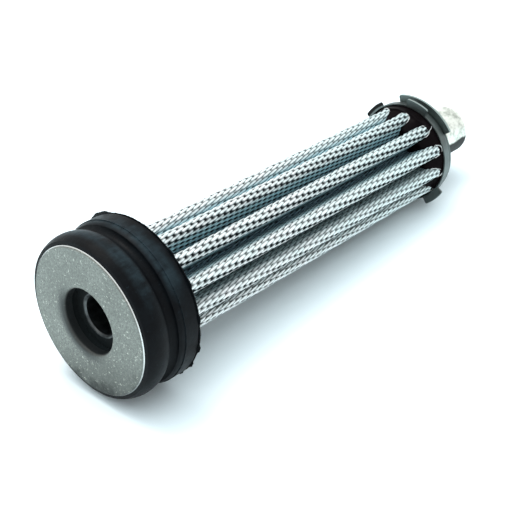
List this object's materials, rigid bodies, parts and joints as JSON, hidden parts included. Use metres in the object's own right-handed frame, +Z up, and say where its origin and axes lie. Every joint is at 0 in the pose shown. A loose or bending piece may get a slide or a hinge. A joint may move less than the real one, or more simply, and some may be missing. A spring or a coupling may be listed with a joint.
{
  "type": "oil filter cartridge",
  "caption": "Cylindrical hydraulic filter cartridge: pleated woven wire cloth between a steel disc with a moulded seal ring and a tabbed sheet cap with a round spigot.",
  "frame": {"origin": "on the ground under the middle of the cartridge as it lies on its seal ring and on the rim of its rear cap", "axes": "+X runs to the rear along the ground under the cartridge's axis, which slopes down to the spigot by 3.17 degrees; +Z is up"},
  "size_m": [0.1483, 0.0422, 0.0425],
  "materials": {
    "turned_steel": "fine blasted, smudged, bright chamfer",
    "black_rubber": "moulded, satin, dusty",
    "tube_steel": "plain mill",
    "wire_cloth": "bright drawn wire",
    "cast_resin": "cast, glossy",
    "pressed_steel": "plain pressed sheet, dull grey",
    "dark_steel": "darkened pressed sheet",
    "drawn_steel": "drawn, stained in places"
  },
  "bodies": {
    "root": {"front_disc": "turned_steel", "seal_ring": "black_rubber", "core_tube": "tube_steel", "pleat_pack": "wire_cloth", "rear_potting": "cast_resin", "rear_cap": "pressed_steel", "rear_plate": "dark_steel", "spigot": "drawn_steel"}
  },
  "joints": []
}
